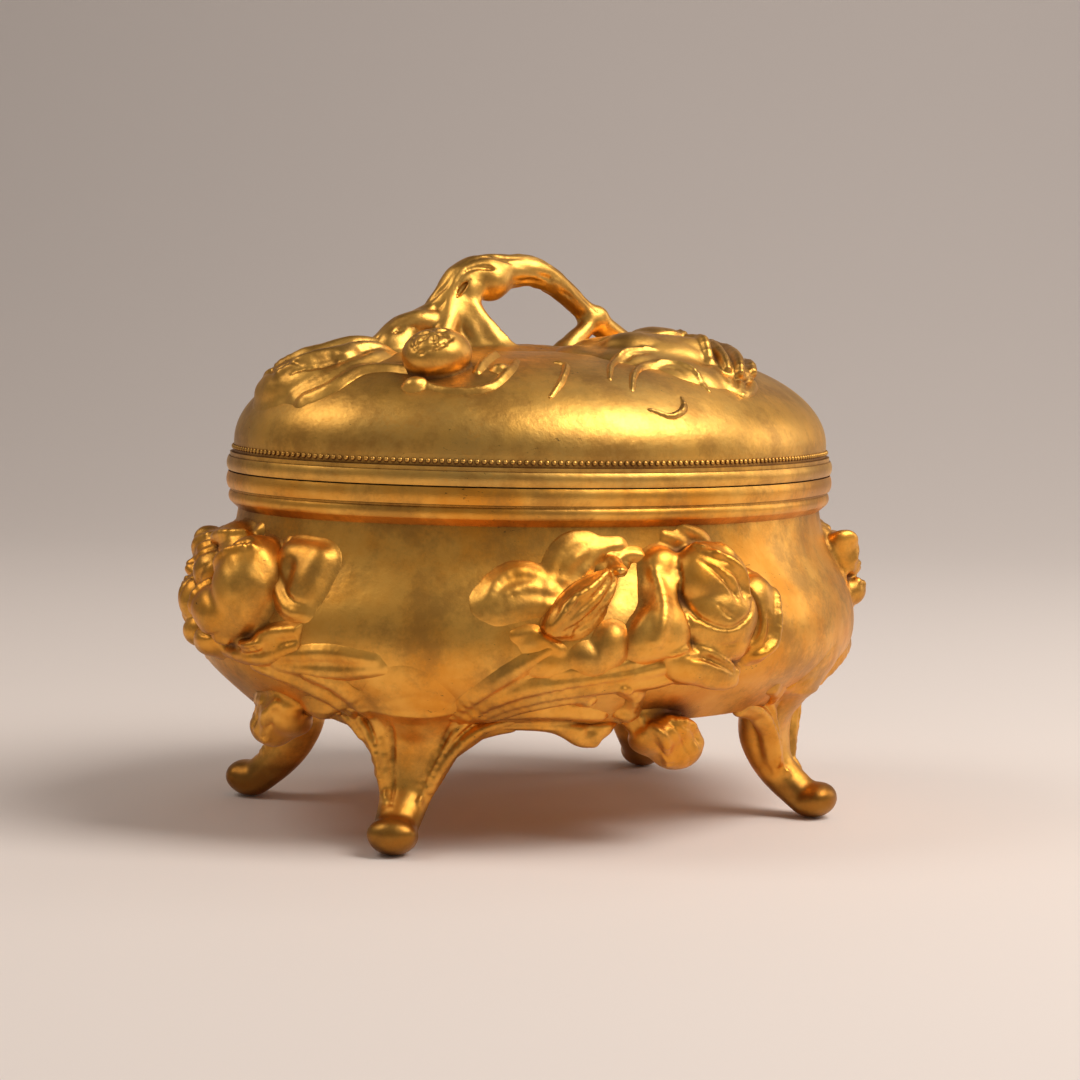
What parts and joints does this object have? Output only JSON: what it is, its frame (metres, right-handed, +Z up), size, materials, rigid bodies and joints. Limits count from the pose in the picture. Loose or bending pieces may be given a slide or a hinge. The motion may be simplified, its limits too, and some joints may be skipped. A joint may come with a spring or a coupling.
{
  "type": "jewel casket",
  "caption": "Oval footed jewel casket of cast gilt metal with rose relief, a domed lid hinged at the back, a twig handle and a padded satin lining",
  "frame": {"origin": "centre of the footprint, on the floor under the four toes", "axes": "+X along the casket's length, -Y the front away from the hinge, +Z up"},
  "size_m": [0.1636, 0.1258, 0.122],
  "materials": {
    "gilt_body": "satin gilt, worn on the high points, dark in the recesses",
    "gilt_lid": "satin gilt, greyer and more rubbed than the body",
    "pin_steel": "plain drawn wire",
    "satin": "old ivory satin",
    "cord_trim": "twisted silk cord",
    "card": "plain pasteboard"
  },
  "bodies": {
    "casket": {"bowl_shell": "gilt_body", "bud_front": "gilt_body", "bud_rear": "gilt_body", "floor_card": "card", "floor_pad": "satin", "floor_plate": "gilt_body", "hinge_leaf_body": "gilt_body", "hinge_pin": "pin_steel", "leaves_front": "gilt_body", "leaves_rear": "gilt_body", "leg_front_left": "gilt_body", "leg_front_right": "gilt_body", "leg_rear_left": "gilt_body", "leg_rear_right": "gilt_body", "lining_trim": "cord_trim", "lower_petal_front": "gilt_body", "lower_petal_rear": "gilt_body", "pendant_front": "gilt_body", "pendant_left": "gilt_body", "pendant_rear": "gilt_body", "pendant_right": "gilt_body", "petal_left": "gilt_body", "petal_right": "gilt_body", "rose_front": "gilt_body", "rose_left": "gilt_body", "rose_rear": "gilt_body", "rose_right": "gilt_body", "scroll_front": "gilt_body", "scroll_rear": "gilt_body", "stem_front": "gilt_body", "stem_rear": "gilt_body", "wall_lining": "satin"},
    "lid": {"lid_shell": "gilt_lid", "lid_lining": "satin", "lid_trim": "cord_trim", "handle_branch": "gilt_lid", "rose_lid": "gilt_lid", "rosehip": "gilt_lid", "leaves_lid": "gilt_lid", "hinge_leaf_lid": "gilt_lid"}
  },
  "joints": [
    {"name": "lid_hinge", "type": "hinge", "parent": "casket", "child": "lid", "pos_m": [0, 0.0549, 0.07435], "axis": [-1, 0, 0], "range_deg": [0, 100]}
  ]
}
